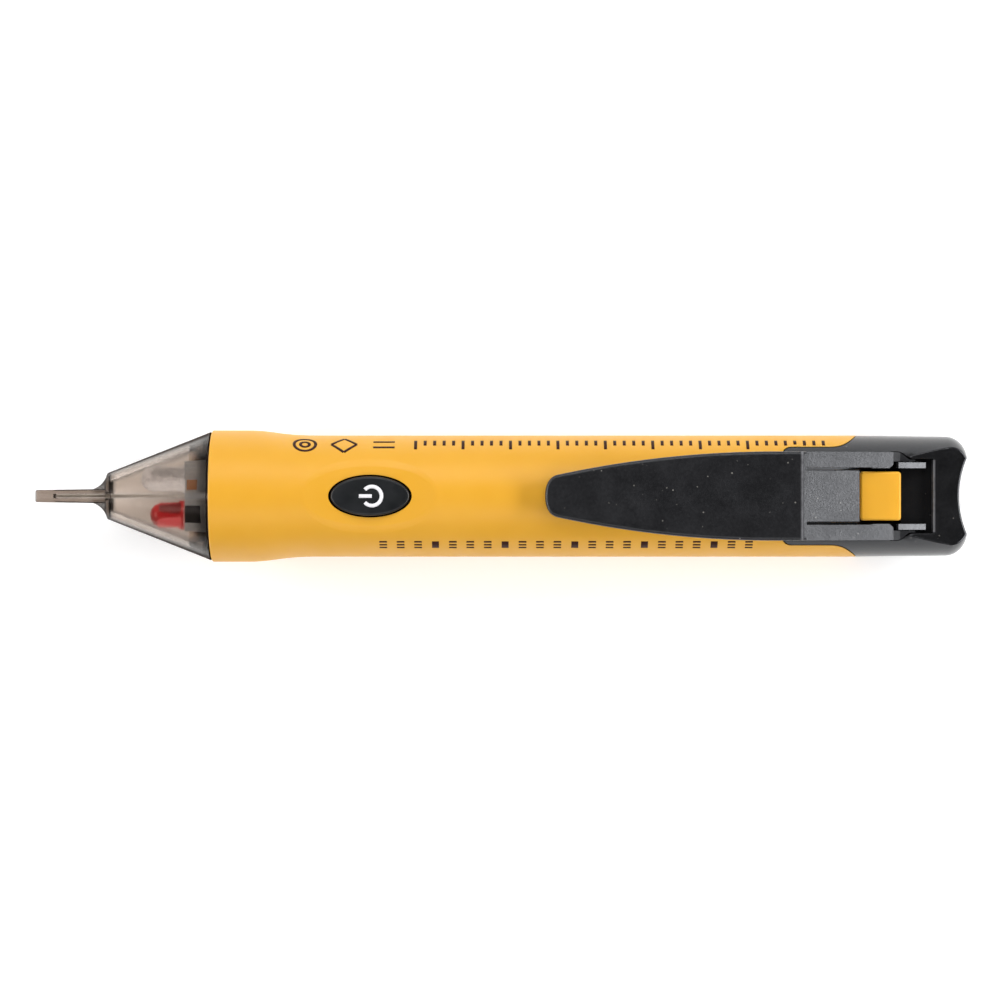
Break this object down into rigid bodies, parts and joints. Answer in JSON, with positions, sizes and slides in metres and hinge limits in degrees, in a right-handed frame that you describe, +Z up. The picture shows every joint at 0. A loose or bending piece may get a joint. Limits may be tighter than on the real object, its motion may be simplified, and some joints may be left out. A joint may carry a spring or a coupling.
{
  "type": "non contact voltage tester",
  "caption": "Pen-shaped non contact voltage tester with a translucent sensing nose, a power button, a pocket clip and a battery cap that slides off.",
  "frame": {"origin": "middle of the tester's length and width, on the flat back that it lies on", "axes": "+X from the nib to the end cap, +Y across the tester, +Z up out of the side that carries the button and the pocket clip"},
  "size_m": [0.148, 0.021, 0.025],
  "materials": {
    "barrel_yellow": "satin",
    "black_plastic": "satin",
    "button_rubber": "matte",
    "smoky_lens": "gloss",
    "copper_strip": "satin",
    "board_green": "satin",
    "red_lamp": "gloss",
    "clear_lamp": "gloss",
    "tinned_metal": "satin",
    "chip_black": "matte",
    "capacitor_orange": "satin",
    "carrier_white": "satin",
    "contact_metal": "satin",
    "battery_jacket": "satin"
  },
  "bodies": {
    "barrel": {"barrel": "barrel_yellow", "sensor_lens": "smoky_lens", "antenna_strip": "copper_strip", "battery_front": "battery_jacket", "battery_rear": "battery_jacket", "board_carrier": "carrier_white", "board_parts": "chip_black", "buzzer": "chip_black", "chip_leads": "tinned_metal", "circuit_board": "board_green", "controller_chip": "chip_black", "driver_transistor": "chip_black", "front_contact": "contact_metal", "green_led": "clear_lamp", "led_leads": "tinned_metal", "red_led": "red_lamp", "return_strip": "contact_metal", "supply_capacitor": "capacitor_orange", "switch_body": "tinned_metal"},
    "button": {"power_button": "button_rubber"},
    "plunger": {"switch_plunger": "chip_black"},
    "latch": {"latch_tab": "barrel_yellow"},
    "cap": {"end_cap": "black_plastic", "cap_contact_plate": "contact_metal", "cap_spring": "contact_metal"},
    "clip": {"pocket_clip": "black_plastic"}
  },
  "joints": [
    {"name": "button_press", "type": "slide", "parent": "barrel", "child": "button", "axis": [0, 0, -1], "range_m": [0, 0.0006], "stiffness_N_per_m": 1500},
    {"name": "plunger_press", "type": "slide", "parent": "barrel", "child": "plunger", "axis": [0, 0, -1], "range_m": [0, 0.0003]},
    {"name": "latch_press", "type": "hinge", "parent": "barrel", "child": "latch", "pos_m": [0.04497, 0, 0.01711], "axis": [0, 1, 0], "range_deg": [0, 4.6], "stiffness_Nm_per_rad": 0.5},
    {"name": "cap_slide", "type": "slide", "parent": "barrel", "child": "cap", "axis": [1, 0, 0], "range_m": [0, 0.035]},
    {"name": "clip_open", "type": "hinge", "parent": "cap", "child": "clip", "pos_m": [0.0642, 0, 0.01506], "axis": [0, 1, 0], "range_deg": [0, 5], "stiffness_Nm_per_rad": 1.5}
  ],
  "couplings": [
    {"joint": "plunger_press", "follows": "button_press", "ratio": 0.5}
  ]
}
